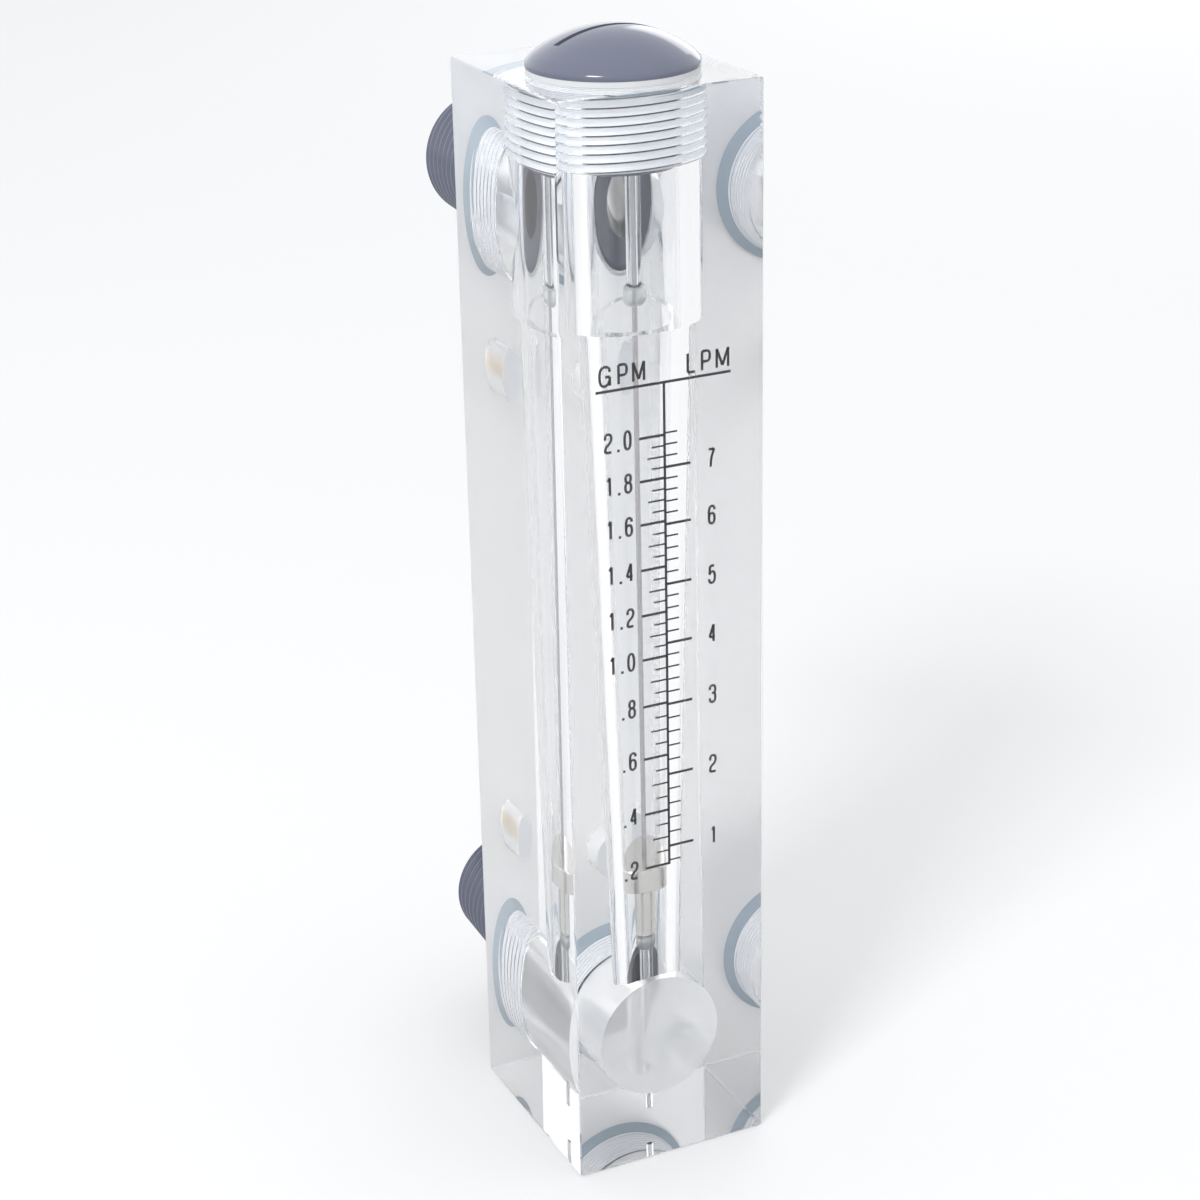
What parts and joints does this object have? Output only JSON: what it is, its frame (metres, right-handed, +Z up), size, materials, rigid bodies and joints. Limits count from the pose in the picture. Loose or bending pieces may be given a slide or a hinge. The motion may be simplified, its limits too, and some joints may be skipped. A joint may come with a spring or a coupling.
{
  "type": "rotameter",
  "caption": "Clear-block panel flow meter: a float rises on a guide rod in a tapered tube between two threaded back ports, read against a scale.",
  "frame": {"origin": "middle of the block's flat base face", "axes": "+Z up along the measuring tube, +Y out of the back face with the ports, -Y out of the scale face"},
  "size_m": [0.0316, 0.0615, 0.1728],
  "materials": {
    "clear_block": "polished clear acrylic",
    "grey_moulding": "blue-grey moulded plastic",
    "seal_rubber": "smooth black rubber",
    "rod_steel": "drawn steel rod",
    "spacer_tube": "milky plastic tube",
    "stop_rubber": "soft grey-green rubber",
    "float_steel": "fine turned steel",
    "insert_brass": "knurled brass"
  },
  "bodies": {
    "meter": {"body_block": "clear_block", "top_plug": "grey_moulding", "top_plug_seal": "seal_rubber", "inlet_fitting": "grey_moulding", "inlet_seal": "seal_rubber", "outlet_fitting": "grey_moulding", "outlet_seal": "seal_rubber", "guide_rod": "rod_steel", "lower_sleeve": "spacer_tube", "lower_stop_ring": "stop_rubber", "upper_stop_ring": "stop_rubber", "upper_sleeve": "spacer_tube", "lower_insert": "insert_brass", "upper_insert": "insert_brass"},
    "float": {"float": "float_steel"}
  },
  "joints": [
    {"name": "float_slide", "type": "slide", "parent": "meter", "child": "float", "axis": [0, 0, 1], "range_m": [0, 0.0867]}
  ]
}
